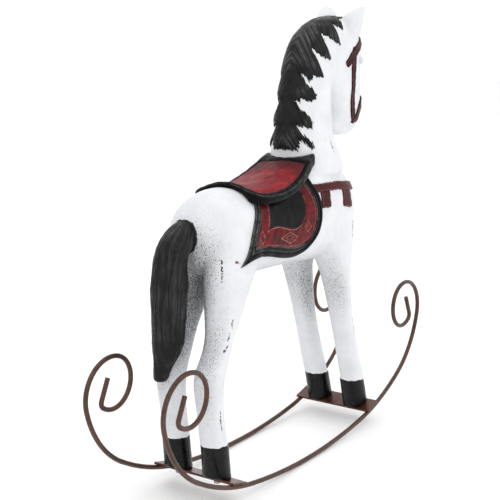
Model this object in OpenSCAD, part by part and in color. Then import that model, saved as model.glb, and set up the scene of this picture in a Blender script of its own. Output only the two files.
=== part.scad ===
// A painted wooden horse, carved and dowelled, standing on two bent-rod rockers.
// Millimetres, +Z up. The horse faces +X; its right side is -Y. The floor is Z = 0 under
// the middle of the rockers.

/* [Rockers] */
// Diameter of the round rocker rod
rod_d = 3.2; // [2.6:0.1:4.2]
// Distance between the centre lines of the two rods
track = 60; // [56:0.5:76]
// Radius of the long rolling arc under the horse
roll_r = 468; // [430:1:520]
// Radius of the first scroll turn, where the rod comes round at its end
scroll_r = 23.8; // [21:0.1:28]
// Length of the straight end inside each scroll
stub_l = 14.8; // [8:0.1:18]
// Distance of each cross plate from the middle of the rockers
plate_x = 90.5; // [86:0.5:96]
// Width of a cross plate, along the rods
plate_w = 15.5; // [15:0.1:22]
// Thickness of a cross plate
plate_t = 1.5; // [1:0.1:3]

/* [Hooves and joints] */
// Radius of a hoof at its sole
hoof_r = 9.3; // [8.8:0.1:11]
// Height of the top of a front hoof above the floor
hoof_top_front = 35; // [28:0.5:44]
// Height of the top of a hind hoof above the floor
hoof_top_rear = 38.5; // [30:0.5:44]
// Diameter of the dowels that join the legs and the tail to the body
leg_dowel_d = 6; // [4:0.5:8]
// Diameter of the dowels in the neck and the head
neck_dowel_d = 9; // [6:0.5:12]
// Gap all round a dowel in its bore
dowel_gap = 0.1; // [0.05:0.05:0.3]
// Shank diameter of the screws that hold the hooves on the plates
screw_d = 2.4; // [2:0.1:3.5]
// Gap all round a screw where it passes the plate
screw_gap = 0.2; // [0.1:0.05:0.5]

/* [Horse] */
// Half width of the barrel of the body
belly_hw = 27.2; // [25:0.2:31]
// Thickness of the carved saddle flap above the body
flap_t = 2.0; // [1.2:0.1:3]
// Thickness of the saddle rim
rim_t = 4.4; // [3.6:0.1:7]
// Width of the black saddle rim
rim_w = 5.2; // [3.5:0.1:7]
// Where the red of the seat gives way to the black band across its front
seat_front = 7; // [2:0.5:12]
// Thickness of the breast strap and the bridle above the wood
strap_t = 1.3; // [0.8:0.1:2]
// Thickness of the mane above the neck
mane_t = 1.9; // [1.4:0.1:3]

/* [Hidden] */
$fn = 48;
rod_r = rod_d / 2;

// ---- rod runs: each row is the radius of an arc and how far it turns, in degrees
run = [[roll_r, 8.9], [173.6, 21.5], [67.6, 46], [scroll_r, 121.8], [17.05, 197.1], [4, 79.6]];
// the far front end is bent by hand to a slightly different scroll
run_hand = [[roll_r, 8.9], [153, 23], [63.4, 64.9], [28.6, 133.2], [19.1, 189], [4, 76]];

function turned(s, i) = i == 0 ? 0 : turned(s, i - 1) + s[i - 1][1];
function step_to(p, h, r, a) = p + r * [sin(h + a) - sin(h), cos(h) - cos(h + a)];
function start_of(s, i) = i == 0 ? [0, rod_r]
    : step_to(start_of(s, i - 1), turned(s, i - 1), s[i - 1][0], s[i - 1][1]);
// point and slope of the rod at a distance x from the middle, on its second arc
plate_a = asin((plate_x - roll_r * sin(8.9)) / 173.6 + sin(8.9));
plate_z = start_of(run, 1)[1] + 173.6 * (cos(8.9) - cos(plate_a));
// a flat plate bridges the hollow of the rod under it by this much
bridge = (173.6 - rod_r) - sqrt(pow(173.6 - rod_r, 2) - pow(plate_w / 2, 2));
plate_len = track + rod_d + 1.4;

// ---- carved shapes: rows of sections, blended smoothly from one to the next
function blend(a, b, c, d, t) = 0.5 * (2 * b + (c - a) * t + (2 * a - 5 * b + 4 * c - d) * t * t
    + (3 * b - a - 3 * c + d) * t * t * t);
function row(s, t) = let (n = len(s) - 1, i = min(n - 1, floor(t)), f = t - i)
    blend(s[max(0, i - 1)], s[i], s[i + 1], s[min(n, i + 2)], f);
function bulge(v, e) = sign(v) * pow(abs(v), 2 / e);
// level section: height, middle x, middle y, half depth, half width, squareness
function level(r, g, m, side) = [for (k = [0 : m - 1]) let (c = cos(360 * k / m), s = sin(360 * k / m))
    [r[1] + (r[3] + g) * bulge(c, r[5]), side * r[2] + (r[4] + g) * bulge(s, r[5]), r[0]]];
// upright section: x, middle height, reach up, reach down, half width, squareness
function upright(r, g, m) = [for (k = [0 : m - 1]) let (c = cos(360 * k / m), s = sin(360 * k / m))
    [r[0], (r[4] + g) * bulge(c, r[5]), r[1] + (s > 0 ? r[2] + g : r[3] + g) * bulge(s, r[5])]];
// rear and front edge instead of middle and half depth
function edged(s) = [for (r = s) [r[0], (r[1] + r[2]) / 2, 0, (r[2] - r[1]) / 2, r[3], r[4]]];
function between(s, a, b, n, g, m, side) = [for (i = [0 : n]) level(row(s, a + (b - a) * i / n), g, m, side)];

module skin(rings) {
    n = len(rings);
    m = len(rings[0]);
    polyhedron(
        points = [for (r = rings) each r],
        faces = concat([[for (k = [0 : m - 1]) k]],
            [for (i = [0 : n - 2], k = [0 : m - 1]) [i * m + k, (i + 1) * m + k, (i + 1) * m + (k + 1) % m]],
            [for (i = [0 : n - 2], k = [0 : m - 1]) [i * m + k, (i + 1) * m + (k + 1) % m, i * m + (k + 1) % m]],
            [[for (k = [0 : m - 1]) (n - 1) * m + m - 1 - k]]));
}
// one carved piece: its facets are worked out together
module carved() resize([0, 0, 0]) union() children();

fore_cut = 7;
fore_leg = [
    [8, 92.8, 16.2, 8.8, 8.8, 2], [34, 85, 16.2, 8.9, 8.8, 2], [46, 80.5, 16.2, 9, 8.7, 2],
    [58, 76, 16.2, 8.9, 8.5, 2], [78, 69, 16.2, 8.6, 8.2, 2], [99, 62.5, 16.2, 9.6, 8.9, 2],
    [119, 57, 16.2, 11.6, 10.5, 2], [128, 54.5, 16, 13.2, 11.6, 2], [145, 52.5, 14.4, 21, 13, 2.1],
    [160, 50, 13, 27, 14.2, 2.1], [175, 47, 11.5, 29, 15, 2.1], [188, 43, 9, 26, 14, 2.1],
    [198, 40, 6, 16, 9, 2], [202, 40, 5, 6, 4, 2]];
hind_cut = 10;
hind_leg = [
    [8, -91.5, 15, 8.9, 8.9, 2], [24, -93, 15, 9, 8.9, 2], [39, -95, 15, 8.9, 8.7, 2],
    [50, -97, 15, 8.8, 8.5, 2], [64, -98.8, 15, 9.2, 8.6, 2], [77, -100, 15, 10.4, 9.2, 2],
    [87, -98.3, 15, 10.9, 9.4, 2], [97, -92.5, 15, 9.9, 8.9, 2], [107, -88.5, 15, 10, 9.1, 2],
    [115, -86, 15, 11.4, 10.3, 2], [122, -84, 15, 13, 11.6, 2], [132, -81.5, 15, 16, 12.8, 2],
    [146, -76, 14.2, 21.5, 13.6, 2], [158, -71, 13.5, 26, 14.2, 2], [172, -66, 12.4, 30, 14.6, 2],
    [184, -64, 10.5, 27, 13.6, 2], [194, -62, 8, 18, 9.5, 2], [198, -62, 6, 6, 3, 2]];
barrel = [
    [-103, 172.5, 2, 2, 2, 2], [-101.5, 172.5, 9.5, 11, 9.5, 2], [-98, 172, 16.5, 17, 16.5, 2],
    [-91, 171.5, 23.6, 23, 22, 2], [-81, 171, 27.8, 26, 25.4, 2], [-66, 170, 30, 27, 26.8, 2.2],
    [-48, 168.5, 29, 28, belly_hw - 0.2, 2.3], [-25, 169, 28.2, 29.5, belly_hw, 2.3],
    [-4, 170, 32, 31.5, belly_hw, 2.3], [12, 170, 38.6, 33, belly_hw, 2.3],
    [30, 170, 42, 34.5, belly_hw, 2.2], [50, 170, 38, 36, belly_hw - 0.6, 2.2],
    [65, 169, 33, 33.5, 24.4, 2.1], [75, 168, 28.5, 29, 20, 2], [81, 167, 21, 23, 14.5, 2],
    [84.5, 166, 12, 14, 8.5, 2], [85.5, 166, 3, 3, 3, 2]];
neck_line = edged([
    [188, 14, 58, 15, 2.2], [196, 10, 67.5, 23, 2.4], [205, 10.6, 66.5, 23.6, 2.4], [213, 11.2, 62.5, 22.2, 2.3],
    [219, 9.8, 60.6, 20.2, 2.2],
    [228, 10.2, 60.3, 18, 2.1], [242, 11.4, 61, 16, 2.1], [256, 13.4, 63, 14.3, 2.1],
    [270, 16.5, 68, 13.7, 2.1], [284, 22, 75, 13, 2.1], [294, 31, 82, 11.8, 2.1], [301.8, 45, 86, 9, 2],
    [304.8, 58, 82, 4, 2]]);
head_line = edged([
    [221, 76, 90, 4, 2.2], [223.5, 67, 99, 7.6, 2.3], [229, 63.5, 105.5, 9.6, 2.4], [238, 64, 108.5, 10.2, 2.3],
    [248, 62, 107.5, 11.2, 2.3], [258, 60, 106.5, 12.2, 2.3], [268, 58, 106, 13, 2.3],
    [277, 56, 105.5, 13.4, 2.3], [286, 55, 104.5, 13.2, 2.2], [294, 55, 101, 12.2, 2.2],
    [299.6, 57, 96, 10.8, 2.2], [303.4, 60, 90, 8.4, 2], [305.4, 66, 82, 4, 2]]);
tail_line = [
    [82.5, -117.2, 9.8, 4.4, 4.2, 2], [85, -117, 9.6, 5.2, 5, 2], [94, -116, 8.4, 7, 6.8, 2],
    [106, -115, 5.4, 10.5, 9.9, 2], [125, -114.5, 5, 11.4, 10.9, 2], [146, -114.2, 4.4, 12.2, 11.5, 2],
    [159, -112.8, 5, 11, 10.3, 2], [169, -109.8, 3.2, 11.7, 11.2, 2], [175.5, -105.8, 3.2, 10, 9.9, 2],
    [180, -102, 3, 7.2, 7.6, 2], [183, -99.8, 2.6, 3.4, 4, 2]];
ear_line = [
    [289, 84.5, 7, 10.5, 5.2, 2], [296, 84, 8.4, 10.8, 6.6, 2], [301, 83.8, 9.4, 10.4, 7.4, 2],
    [305, 84, 10.4, 9.4, 7.2, 2], [308.5, 85.2, 11.6, 7.4, 6, 2], [311.3, 87.4, 13.2, 4.9, 4.2, 2],
    [313, 89.6, 15, 2.4, 2.2, 2], [313.6, 90.8, 15.9, 1, 0.9, 2]];
fore_top = fore_leg[fore_cut][0];
hind_top = hind_leg[hind_cut][0];
neck_cut = 213;
face_x = 61;
throat_z = 240;

module stubs(g) for (s = [-1, 1]) {
    skin(between(fore_leg, fore_cut, len(fore_leg) - 1, 9, g, 22, s));
    skin(between(hind_leg, hind_cut, len(hind_leg) - 1, 10, g, 22, s));
}
module body_shape(g) {
    skin([for (i = [0 : 28]) upright(row(barrel, i * (len(barrel) - 1) / 28), g, 34)]);
    stubs(g);
    intersection() {
        neck_shape(g);
        translate([-20, -40, 150]) cube([140, 80, neck_cut - 150 + g]);
    }
}
module neck_shape(g) skin(between(neck_line, 0, len(neck_line) - 1, 17, g, 28, 1));
module head_shape(g) skin(between(head_line, 0, len(head_line) - 1, 19, g, 28, 1));
module ahead_of_face() translate([face_x, -40, throat_z]) cube([80, 80, 90]);

// ---- saddle: a dished seat over the back, bent up at the front
seat_ridge = [[-64, 203.6], [-52, 201.4], [-40, 200], [-30, 199.8], [-20, 201], [-10, 203.4], [0, 206.8],
    [10, 210.9], [16, 213], [22, 214.6]];
seat_drop = [[-64, 9], [-52, 8], [-40, 6.5], [-30, 5.8], [-20, 5.2], [-10, 4.8], [0, 4.6], [10, 3], [16, 1.6],
    [22, 1]];
// the seat was carved a little higher along its right edge
seat_lean = 0.05;
function seat_z(x, y) = lookup(x, seat_ridge) - lookup(x, seat_drop) * pow(abs(y) / 28, 1.7) - seat_lean * y;
seat_half = [[-62.5, 0], [-62.6, 10], [-63, 19], [-61.5, 23.6], [-56, 27], [-48, 28.4], [-36, 28.8], [-20, 28],
    [-6, 26], [6, 23], [14, 20.6], [19.4, 19.4], [17, 13], [15.2, 6], [14.6, 0]];
module seat_plan() polygon(concat(seat_half, [for (i = [len(seat_half) - 2 : -1 : 1]) [seat_half[i][0], -seat_half[i][1]]]));
module seat_inner() intersection() {
    offset(delta = -rim_w) seat_plan();
    translate([-90, -50]) square([90 + seat_front, 100]);
}
module seat_slab(g) {
    nx = 22;
    ny = 14;
    xs = [for (i = [0 : nx]) -65 + 88 * i / nx];
    ys = [for (j = [0 : ny]) 30 * (2 * j / ny - 1)];
    top = [for (x = xs) [for (y = ys) [x, y, seat_z(x, y) + g]]];
    low = [for (x = xs) [for (y = ys) [x, y, seat_z(x, y) - rim_t - 4.5 * (1 - pow(abs(y) / 30, 6))]]];
    skin([for (i = [0 : nx]) concat([for (j = [0 : ny]) low[i][j]], [for (j = [ny : -1 : 0]) top[i][j]])]);
}
module seat_cut(g) intersection() {
    seat_slab(g);
    translate([0, 0, 170]) linear_extrude(60) offset(delta = g) seat_plan();
}

// ---- saddle flap, seen from the side
flap_edge = [[-50, 202], [-54.5, 196], [-58.6, 190], [-63.4, 183], [-68.2, 175.5], [-72.4, 168], [-76.6, 160], [-82.8, 153],
    [-74, 155.6], [-66, 156.4], [-57, 156], [-47, 154.5], [-36, 151.9], [-25, 149.5], [-14, 148.1], [-5, 148.9],
    [1.5, 151.2], [6.5, 155], [11.3, 160], [14.4, 166], [15.8, 173], [15.4, 181], [13.6, 188], [10, 195], [4, 202]];
panel_edge = [[-43, 205], [-45.5, 186], [-48.5, 179], [-51.5, 172], [-45, 173.4], [-38, 172.8], [-31, 171],
    [-25, 169.4], [-18.5, 168.6], [-12.5, 169.8], [-8.2, 173.2], [-5.6, 178.5], [-4.2, 185], [-5, 191], [-9, 205]];
border_w = 6;
module side(s, y0) translate([0, s > 0 ? 60 : -y0, 0]) rotate([90, 0, 0]) linear_extrude(60 - y0) children();
module on_side(s, t) carved() difference() {
    intersection() {
        body_shape(t);
        side(s, 12) children();
    }
    body_shape(0);
    seat_cut(0.02);
}

// ---- breast strap, seen from the side, and the tabs that hang from it
strap_edge = [[4, 194.6], [20, 194.2], [34, 193.7], [50, 192.5], [62, 190.6], [78, 187.8], [95, 186],
    [95, 179.6], [78, 181.4], [62, 184], [48, 186.2], [34, 187.4], [20, 188], [4, 188.4]];
tab_mid = [[17.2, 192], [29.4, 192], [28.8, 176.2], [16.8, 177.2]];
tab_front = [[47.6, 190], [60.4, 188], [60.8, 171.6], [47, 174.6]];
// ---- bridle, seen from the side
brow_edge = [[71.4, 275], [72.6, 270.8], [76.5, 270.4], [85.5, 277.8], [96, 284.6], [114, 291], [114, 298],
    [94, 291], [80, 283.6], [72.6, 277]];
cheek_edge = [[79.4, 282], [80.6, 262], [82.4, 246], [87.4, 230], [92, 232], [87, 247], [85.2, 262], [84, 284]];
nose_edge = [[87.2, 231.4], [89.6, 228.6], [95.6, 231.2], [100.4, 237.6], [114, 246], [114, 252.6], [99, 245.4],
    [94.6, 238.6], [91.4, 235.2]];
// ---- mane, seen from the side: a crest with tapering locks
mane_edge = [[4, 212], [12.6, 214.2], [13.4, 219.5], [14.6, 223.2], [16.6, 219.4], [19.4, 216.8], [21.2, 218.4],
    [20.3, 222.2], [15.6, 228], [13.6, 232.8], [17, 232.2], [21.6, 230.6], [23.6, 235.4], [22, 239.4], [16.4, 244.6],
    [14.2, 250.4], [16, 249], [17, 251.4], [20, 250.2], [24.2, 249.2], [27.4, 250.8], [30.4, 253.6], [22.2, 262],
    [19.4, 268.4], [22.6, 265.4], [24.6, 262.8], [26.8, 264.8], [28.4, 267], [32.2, 265.4], [39.4, 265.2],
    [33.4, 276.2], [30.6, 284.4], [37, 280], [41.4, 278.2], [51.4, 276.4], [43.8, 287.4], [42.4, 294.6],
    [47.6, 292.6], [57, 288.8], [66, 286.4], [61.4, 293.4], [58.6, 300.6], [64, 299], [70, 296.8], [70.6, 302],
    [80, 304], [82, 314], [40, 316], [0, 290], [-6, 250]];

/* nodes */

// neighbouring bends stop just short of each other inside a thin collar that joins them
joint_gap = 0.1;
module joint(p, h) translate([p[0], 0, p[1]]) rotate([0, 90 - h, 0])
    cylinder(r = rod_r + 0.06, h = 0.6, center = true);
module arc(c, r, a0, a) translate([c[0], 0, c[1]]) rotate([90, 0, 0])
    rotate([0, 0, a0 - 90 + joint_gap / r * 180 / PI]) rotate_extrude(angle = a - 2 * joint_gap / r * 180 / PI)
        translate([r, 0]) circle(rod_r);
module half_rod(s) {
    for (i = [1 : len(s) - 1])
        let (h = turned(s, i), p = start_of(s, i), r = s[i][0]) {
            arc(p + r * [-sin(h), cos(h)], r, h, s[i][1]);
            joint(p, h);
        }
    let (n = len(s), h = turned(s, n), p = start_of(s, n)) {
        joint(p, h);
        translate([p[0], 0, p[1]]) rotate([0, 90 - h, 0]) translate([0, 0, joint_gap])
            cylinder(r = rod_r, h = stub_l);
    }
}
module rod(front) {
    arc([0, roll_r + rod_r], roll_r, -run[0][1], 2 * run[0][1]);
    half_rod(front);
    mirror([1, 0, 0]) half_rod(run);
}
module rocker_rod_left() color([0.34, 0.22, 0.17]) translate([0, track / 2, 0]) rod(run_hand);
module rocker_rod_right() color([0.34, 0.22, 0.17]) translate([0, -track / 2, 0]) rod(run);

// frame lying in a plate, its origin in the middle of the underside; f = 1 front, -1 rear
module at_plate(f) translate([f * plate_x, 0, plate_z]) rotate([0, -f * plate_a, 0])
    translate([0, 0, rod_r + bridge]) children();
hoof_y = 15.6;
screw_len = 31;
module cross_plate(f) color([0.32, 0.19, 0.15]) difference() {
    at_plate(f) translate([-plate_w / 2, -plate_len / 2, 0]) cube([plate_w, plate_len, plate_t]);
    for (s = [-1, 1]) screw_bore(f, s, screw_gap);
}
module cross_plate_front() cross_plate(1);
module cross_plate_rear() cross_plate(-1);
// a bead of weld along the inner side of the rod, under the plate
module weld(f, s) color([0.28, 0.18, 0.14]) at_plate(f) translate([0, s * (track / 2 - rod_r - 0.1), -0.55])
    rotate([0, 90, 0]) cylinder(r = 0.6, h = plate_w - 4, center = true);
module weld_front_left() weld(1, 1);
module weld_front_right() weld(1, -1);
module weld_rear_left() weld(-1, 1);
module weld_rear_right() weld(-1, -1);

// a screw runs up the middle of its hoof, and into the leg
module screw_line(f, s) at_plate(f) translate([f > 0 ? 0 : -1.9, s * hoof_y, 0]) rotate([0, f > 0 ? 0 : -22, 0]) children();
module hoof_screw(f, s) color([0.4, 0.4, 0.42]) {
    difference() {
        screw_line(f, s) translate([0, 0, -1.8]) cylinder(d = screw_d + 2.4, h = 3.4);
        at_plate(f) translate([-20, -40, 0]) cube([40, 80, 20]);
    }
    screw_line(f, s) translate([0, 0, -1]) cylinder(d = screw_d, h = screw_len + 1);
}
module hoof_screw_front_left() hoof_screw(1, 1);
module hoof_screw_front_right() hoof_screw(1, -1);
module hoof_screw_rear_left() hoof_screw(-1, 1);
module hoof_screw_rear_right() hoof_screw(-1, -1);
module screw_bore(f, s, g) screw_line(f, s) translate([0, 0, -3]) cylinder(d = screw_d + 2 * g, h = screw_len + 3);

// everything on or above the top of a plate
module above_plate(f) at_plate(f) translate([-60, -60, plate_t]) cube([120, 120, 60]);
module hoof(f, s) color([0.09, 0.09, 0.09]) {
    leg = f > 0 ? fore_leg : hind_leg;
    top_z = f > 0 ? hoof_top_front : hoof_top_rear;
    a = row(leg, 0);
    b = row(leg, f > 0 ? 1 : 1.97);
    lean = atan2(b[1] - a[1], b[0] - a[0]);
    difference() {
        intersection() {
            translate([a[1], s * hoof_y, a[0]]) rotate([0, lean, 0])
                cylinder(r1 = hoof_r, r2 = hoof_r - 0.5, h = 60);
            above_plate(f);
            translate([a[1] - 40, s * hoof_y - 20, 0]) cube([80, 40, top_z]);
        }
        screw_bore(f, s, 0);
    }
}
module hoof_front_left() hoof(1, 1);
module hoof_front_right() hoof(1, -1);
module hoof_rear_left() hoof(-1, 1);
module hoof_rear_right() hoof(-1, -1);

dowel_h = 22;
module leg_dowel(f, s, g) {
    leg = f > 0 ? fore_leg : hind_leg;
    c = leg[f > 0 ? fore_cut : hind_cut];
    translate([c[1], s * c[2], c[0] - dowel_h / 2]) cylinder(d = leg_dowel_d + 2 * g, h = dowel_h);
}
module lower_leg(f, s) color([0.93, 0.93, 0.92]) {
    leg = f > 0 ? fore_leg : hind_leg;
    cut = f > 0 ? fore_cut : hind_cut;
    top_z = f > 0 ? hoof_top_front : hoof_top_rear;
    difference() {
        carved() difference() {
            skin(between(leg, 0, cut, f > 0 ? 13 : 18, 0, 22, s));
            translate([-150, -60, 0]) cube([300, 120, top_z]);
        }
        leg_dowel(f, s, dowel_gap);
        screw_bore(f, s, 0);
    }
}
module foreleg_left() lower_leg(1, 1);
module foreleg_right() lower_leg(1, -1);
module hind_leg_left() lower_leg(-1, 1);
module hind_leg_right() lower_leg(-1, -1);

module neck_dowel(g) translate([36, 0, neck_cut - 16]) cylinder(d = neck_dowel_d + 2 * g, h = 32);
module head_dowel(g) translate([face_x - 14, 0, 275]) rotate([0, 90, 0]) cylinder(d = neck_dowel_d + 2 * g, h = 28);
module tail_dowel(g) translate([-112, 2, 171]) rotate([0, 90, 0]) cylinder(d = leg_dowel_d + 2 * g, h = 24);
module torso() color([0.93, 0.93, 0.92]) difference() {
    carved() body_shape(0);
    for (f = [-1, 1], s = [-1, 1]) leg_dowel(f, s, dowel_gap);
    neck_dowel(dowel_gap);
    tail_dowel(dowel_gap);
}
module neck() color([0.93, 0.93, 0.92]) difference() {
    carved() difference() {
        union() {
            neck_shape(0);
            intersection() {
                head_shape(0);
                translate([0, -40, throat_z]) cube([face_x, 80, 90]);
            }
        }
        translate([-60, -60, 150]) cube([200, 120, neck_cut - 150]);
        ahead_of_face();
    }
    neck_dowel(dowel_gap);
    head_dowel(dowel_gap);
}
module head() color([0.93, 0.93, 0.92]) difference() {
    carved() intersection() {
        union() {
            head_shape(0);
            intersection() {
                neck_shape(0);
                ahead_of_face();
            }
        }
        translate([face_x, -40, 200]) cube([80, 80, 120]);
    }
    head_dowel(dowel_gap);
    for (s = [-1, 1]) eye(s);
}
module eye(s) translate([95.5, s * 10.2, 275]) sphere(r = 3.2);
module eye_left() color([0.05, 0.05, 0.05]) eye(1);
module eye_right() color([0.05, 0.05, 0.05]) eye(-1);
module ear_shape(s) skin(between(ear_line, 0, len(ear_line) - 1, 9, 0, 16, s));
module ear(s) color([0.93, 0.93, 0.92]) carved() difference() {
    ear_shape(s);
    head_shape(0);
    neck_shape(0);
}
module ear_left() ear(1);
module ear_right() ear(-1);
module tail() color([0.1, 0.1, 0.1]) difference() {
    carved() difference() {
        skin(between(tail_line, 0, len(tail_line) - 1, 16, 0, 24, 1));
        body_shape(0);
        skin(between(hind_leg, 0, hind_cut, 18, 0, 22, 1));
    }
    tail_dowel(dowel_gap);
}

module saddle_seat() color([0.62, 0.16, 0.17]) carved() difference() {
    intersection() {
        seat_slab(0);
        translate([0, 0, 170]) linear_extrude(60) seat_inner();
    }
    body_shape(0);
    neck_shape(0);
}
module saddle_rim() color([0.1, 0.1, 0.1]) carved() difference() {
    seat_cut(0);
    translate([0, 0, 150]) linear_extrude(90) seat_inner();
    body_shape(0);
    neck_shape(0);
}
module flap_border(s) color([0.1, 0.1, 0.1]) on_side(s, flap_t) difference() {
    polygon(flap_edge);
    offset(delta = -border_w) polygon(flap_edge);
}
module flap_red(s) color([0.6, 0.1, 0.1]) on_side(s, flap_t - 0.5) difference() {
    offset(delta = -border_w) polygon(flap_edge);
    polygon(panel_edge);
}
module flap_panel(s) color([0.1, 0.1, 0.1]) on_side(s, flap_t - 0.2) intersection() {
    polygon(panel_edge);
    offset(delta = -border_w) polygon(flap_edge);
}
module flap_border_left() flap_border(1);
module flap_border_right() flap_border(-1);
module flap_red_left() flap_red(1);
module flap_red_right() flap_red(-1);
module flap_panel_left() flap_panel(1);
module flap_panel_right() flap_panel(-1);

module breast_strap() color([0.35, 0.12, 0.12]) carved() difference() {
    intersection() {
        body_shape(strap_t);
        side(1, -60) difference() {
            polygon(strap_edge);
            polygon(flap_edge);
        }
    }
    body_shape(0);
}
module tab(s) color([0.35, 0.12, 0.12]) on_side(s, strap_t - 0.2) difference() {
    children();
    polygon(strap_edge);
}
module strap_tab_mid_left() tab(1) polygon(tab_mid);
module strap_tab_mid_right() tab(-1) polygon(tab_mid);
module strap_tab_front_left() tab(1) polygon(tab_front);
module strap_tab_front_right() tab(-1) polygon(tab_front);
module browband() color([0.3, 0.1, 0.1]) carved() difference() {
    intersection() {
        head_shape(strap_t);
        side(1, -60) polygon(brow_edge);
    }
    head_shape(0);
}
module cheek_strap(s) color([0.3, 0.1, 0.1]) carved() difference() {
    intersection() {
        head_shape(strap_t - 0.3);
        side(s, 2) difference() {
            polygon(cheek_edge);
            polygon(brow_edge);
            polygon(nose_edge);
        }
    }
    head_shape(0);
}
module cheek_strap_left() cheek_strap(1);
module cheek_strap_right() cheek_strap(-1);
module noseband() color([0.3, 0.1, 0.1]) carved() difference() {
    intersection() {
        head_shape(strap_t);
        side(1, -60) polygon(nose_edge);
    }
    head_shape(0);
}
module mane() color([0.1, 0.1, 0.1]) carved() difference() {
    intersection() {
        union() {
            neck_shape(mane_t);
            head_shape(mane_t);
        }
        side(1, -60) polygon(mane_edge);
    }
    neck_shape(0);
    head_shape(0);
    body_shape(0);
    ear_shape(1);
    ear_shape(-1);
    seat_cut(0.02);
}
module dowel_foreleg_left() color([0.75, 0.6, 0.42]) leg_dowel(1, 1, 0);
module dowel_foreleg_right() color([0.75, 0.6, 0.42]) leg_dowel(1, -1, 0);
module dowel_hind_left() color([0.75, 0.6, 0.42]) leg_dowel(-1, 1, 0);
module dowel_hind_right() color([0.75, 0.6, 0.42]) leg_dowel(-1, -1, 0);
module dowel_neck() color([0.75, 0.6, 0.42]) neck_dowel(0);
module dowel_head() color([0.75, 0.6, 0.42]) head_dowel(0);
module dowel_tail() color([0.75, 0.6, 0.42]) tail_dowel(0);

rocker_rod_left();
rocker_rod_right();
cross_plate_front();
cross_plate_rear();
weld_front_left();
weld_front_right();
weld_rear_left();
weld_rear_right();
hoof_screw_front_left();
hoof_screw_front_right();
hoof_screw_rear_left();
hoof_screw_rear_right();
hoof_front_left();
hoof_front_right();
hoof_rear_left();
hoof_rear_right();
foreleg_left();
foreleg_right();
hind_leg_left();
hind_leg_right();
torso();
neck();
head();
ear_left();
ear_right();
tail();
saddle_seat();
saddle_rim();
flap_border_left();
flap_border_right();
flap_red_left();
flap_red_right();
flap_panel_left();
flap_panel_right();
breast_strap();
strap_tab_mid_left();
strap_tab_mid_right();
strap_tab_front_left();
strap_tab_front_right();
browband();
cheek_strap_left();
cheek_strap_right();
noseband();
mane();
eye_left();
eye_right();
dowel_foreleg_left();
dowel_foreleg_right();
dowel_hind_left();
dowel_hind_right();
dowel_neck();
dowel_head();
dowel_tail();
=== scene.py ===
import math
import bpy, bmesh
import numpy as np
from mathutils import Vector, Matrix
from mathutils.bvhtree import BVHTree

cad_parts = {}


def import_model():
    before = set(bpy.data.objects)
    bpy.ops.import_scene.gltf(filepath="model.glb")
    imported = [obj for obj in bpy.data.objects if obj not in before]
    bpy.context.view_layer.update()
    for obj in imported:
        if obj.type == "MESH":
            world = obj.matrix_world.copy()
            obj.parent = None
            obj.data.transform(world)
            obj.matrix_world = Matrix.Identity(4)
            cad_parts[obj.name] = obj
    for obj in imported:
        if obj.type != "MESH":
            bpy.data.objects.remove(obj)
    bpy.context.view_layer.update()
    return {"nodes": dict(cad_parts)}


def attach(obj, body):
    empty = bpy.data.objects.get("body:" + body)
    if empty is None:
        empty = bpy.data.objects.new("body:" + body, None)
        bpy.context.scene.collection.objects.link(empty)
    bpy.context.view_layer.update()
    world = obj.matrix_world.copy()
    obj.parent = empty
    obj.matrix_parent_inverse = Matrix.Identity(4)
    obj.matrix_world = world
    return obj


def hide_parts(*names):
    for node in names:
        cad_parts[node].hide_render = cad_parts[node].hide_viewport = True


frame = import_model()
MM = 0.001
NODES = frame["nodes"]
SC = bpy.context.scene
SIDES = ((1, "left"), (-1, "right"))
TURN = 6.283
# value of a distance attribute where nothing is near
FAR = 9.0
# planes that part the wooden pieces: heights, and how far forward the face starts
FORE_TOP, HIND_TOP = 128, 122
FRONT_HOOF_TOP, REAR_HOOF_TOP = 35, 38.5
NECK_Z, THROAT_Z, EAR_Z = 213, 240, 305.4
FACE_X = 61


# ---------------------------------- mesh helpers (numbers in mm)
def new_object(name, co, faces):
    me = bpy.data.meshes.new(name)
    me.from_pydata((np.asarray(co) * MM).tolist(), [], [list(map(int, f)) for f in faces])
    me.update()
    o = bpy.data.objects.new(name, me)
    SC.collection.objects.link(o)
    return o


def joined(name, nodes):
    bm = bmesh.new()
    for n in nodes:
        bm.from_mesh(NODES[n].data)
    bmesh.ops.remove_doubles(bm, verts=bm.verts, dist=2e-6)
    me = bpy.data.meshes.new(name)
    bm.to_mesh(me)
    bm.free()
    o = bpy.data.objects.new(name, me)
    SC.collection.objects.link(o)
    return o


def baked(o):
    dg = bpy.context.evaluated_depsgraph_get()
    me = bpy.data.meshes.new_from_object(o.evaluated_get(dg))
    o.modifiers.clear()
    o.data = me
    return o


def remesh(o, size):
    m = o.modifiers.new("r", "REMESH")
    m.mode = "VOXEL"
    m.voxel_size = size * MM
    return baked(o)


def coords(me):
    a = np.zeros(len(me.vertices) * 3)
    me.vertices.foreach_get("co", a)
    return a.reshape(-1, 3) / MM


def set_coords(me, co):
    me.vertices.foreach_set("co", (co * MM).astype(np.float32).ravel())
    me.update()


def normals(me):
    a = np.zeros(len(me.vertices) * 3, np.float32)
    me.vertex_normals.foreach_get("vector", a)
    return a.reshape(-1, 3).astype(float)


def edges_of(me):
    e = np.zeros(len(me.edges) * 2, np.int64)
    me.edges.foreach_get("vertices", e)
    return e.reshape(-1, 2)


def spread(v, e, n, lam):
    """n rounds of moving values towards the mean of their neighbours"""
    i, j = np.concatenate([e[:, 0], e[:, 1]]), np.concatenate([e[:, 1], e[:, 0]])
    deg = np.maximum(np.bincount(i, minlength=len(v)), 1)
    v = v.copy().reshape(len(v), -1)
    for k in range(n):
        l = lam[k % len(lam)]
        for c in range(v.shape[1]):
            mean = np.bincount(i, weights=v[j, c], minlength=len(v)) / deg
            v[:, c] += l * (mean - v[:, c])
    return v


def smooth(me, n):
    set_coords(me, spread(coords(me), edges_of(me), 2 * n, (0.55, -0.575)))


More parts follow.
